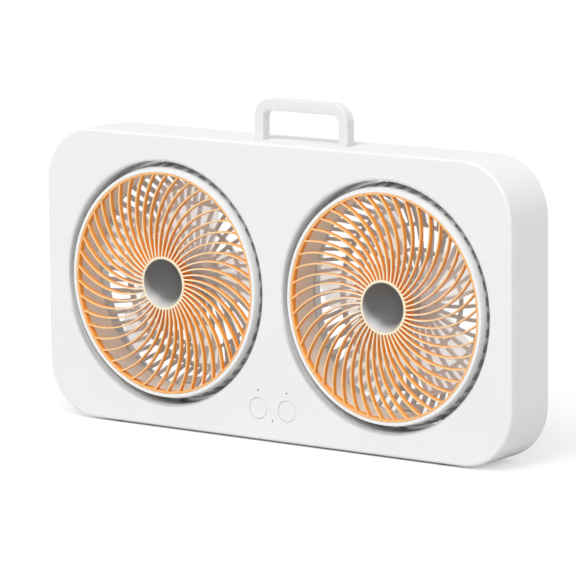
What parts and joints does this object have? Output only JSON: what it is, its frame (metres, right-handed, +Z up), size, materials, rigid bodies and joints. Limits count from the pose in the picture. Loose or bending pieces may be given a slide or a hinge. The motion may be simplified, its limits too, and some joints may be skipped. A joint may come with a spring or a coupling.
{
  "type": "window fan",
  "caption": "Free-standing twin window fan: a rounded white box with round swivelling heads behind orange swirl grilles, a carrying handle and push buttons.",
  "frame": {"origin": "on the plane that the feet stand on, under the middle of the body's width and depth", "axes": "+X to the right seen from the front, +Y from the front to the back, +Z up"},
  "size_m": [0.6, 0.069, 0.3575],
  "materials": {
    "shell_white": "fine-textured white plastic",
    "button_white": "smooth white plastic",
    "handle_white": "smooth white plastic",
    "ring_white": "smooth white plastic",
    "guard_white": "smooth off-white plastic",
    "grille_orange": "smooth light orange plastic",
    "cap_grey": "satin warm grey plastic",
    "blade_frosted": "frosted see-through plastic",
    "inner_plastic": "slippery off-white plastic",
    "motor_steel": "plain pressed steel",
    "bright_steel": "zinc-plated steel",
    "winding_copper": "laminated core with enamelled copper windings, shown as one ring",
    "magnet_dark": "dark sintered magnet",
    "foot_rubber": "soft black rubber",
    "board_green": "green printed circuit board",
    "black_plastic": "black moulded plastic",
    "lamp_clear": "smoked light guide"
  },
  "bodies": {
    "base": {"front_shell": "shell_white", "left_swivel_frame": "shell_white", "right_swivel_frame": "shell_white", "rear_cover": "shell_white", "cover_screws": "bright_steel", "foot_front_left": "foot_rubber", "foot_front_right": "foot_rubber", "foot_rear_left": "foot_rubber", "foot_rear_right": "foot_rubber", "left_handle_guide": "inner_plastic", "right_handle_guide": "inner_plastic", "left_switch": "black_plastic", "right_switch": "black_plastic", "left_indicator": "lamp_clear", "middle_indicator": "lamp_clear", "right_indicator": "lamp_clear", "control_board": "board_green", "board_screws": "bright_steel", "power_inlet": "black_plastic", "left_upper_bush": "inner_plastic", "left_lower_bush": "inner_plastic", "right_upper_bush": "inner_plastic", "right_lower_bush": "inner_plastic"},
    "handle": {"handle": "handle_white"},
    "left_button": {"left_button": "button_white"},
    "right_button": {"right_button": "button_white"},
    "left_head": {"left_head_ring": "ring_white", "left_front_grille": "grille_orange", "left_hub_cap": "cap_grey", "left_motor_case": "motor_steel", "left_stator": "winding_copper", "left_front_bearing": "motor_steel", "left_rear_bearing": "motor_steel", "left_rear_guard": "guard_white", "left_guard_screws": "bright_steel", "left_motor_screws": "bright_steel", "left_upper_pin": "bright_steel", "left_lower_pin": "bright_steel"},
    "left_fan": {"left_impeller": "blade_frosted", "left_rotor_core": "magnet_dark", "left_motor_shaft": "bright_steel"},
    "right_head": {"right_head_ring": "ring_white", "right_front_grille": "grille_orange", "right_hub_cap": "cap_grey", "right_motor_case": "motor_steel", "right_stator": "winding_copper", "right_front_bearing": "motor_steel", "right_rear_bearing": "motor_steel", "right_rear_guard": "guard_white", "right_guard_screws": "bright_steel", "right_motor_screws": "bright_steel", "right_upper_pin": "bright_steel", "right_lower_pin": "bright_steel"},
    "right_fan": {"right_impeller": "blade_frosted", "right_rotor_core": "magnet_dark", "right_motor_shaft": "bright_steel"}
  },
  "joints": [
    {"name": "left_swivel", "type": "hinge", "parent": "base", "child": "left_head", "pos_m": [-0.143, 0, 0.156], "axis": [0, 0, 1], "range_deg": [-30, 30]},
    {"name": "left_fan_spin", "type": "hinge", "parent": "left_head", "child": "left_fan", "pos_m": [-0.143, 0, 0.156], "axis": [0, -1, 0], "continuous": true},
    {"name": "right_swivel", "type": "hinge", "parent": "base", "child": "right_head", "pos_m": [0.143, 0, 0.156], "axis": [0, 0, 1], "range_deg": [-30, 30]},
    {"name": "right_fan_spin", "type": "hinge", "parent": "right_head", "child": "right_fan", "pos_m": [0.143, 0, 0.156], "axis": [0, -1, 0], "continuous": true},
    {"name": "left_button_press", "type": "slide", "parent": "base", "child": "left_button", "axis": [0, 1, 0], "range_m": [0, 0.001], "stiffness_N_per_m": 500},
    {"name": "right_button_press", "type": "slide", "parent": "base", "child": "right_button", "axis": [0, 1, 0], "range_m": [0, 0.001], "stiffness_N_per_m": 500},
    {"name": "handle_slide", "type": "slide", "parent": "base", "child": "handle", "axis": [0, 0, 1], "range_m": [-0.023, 0]}
  ]
}
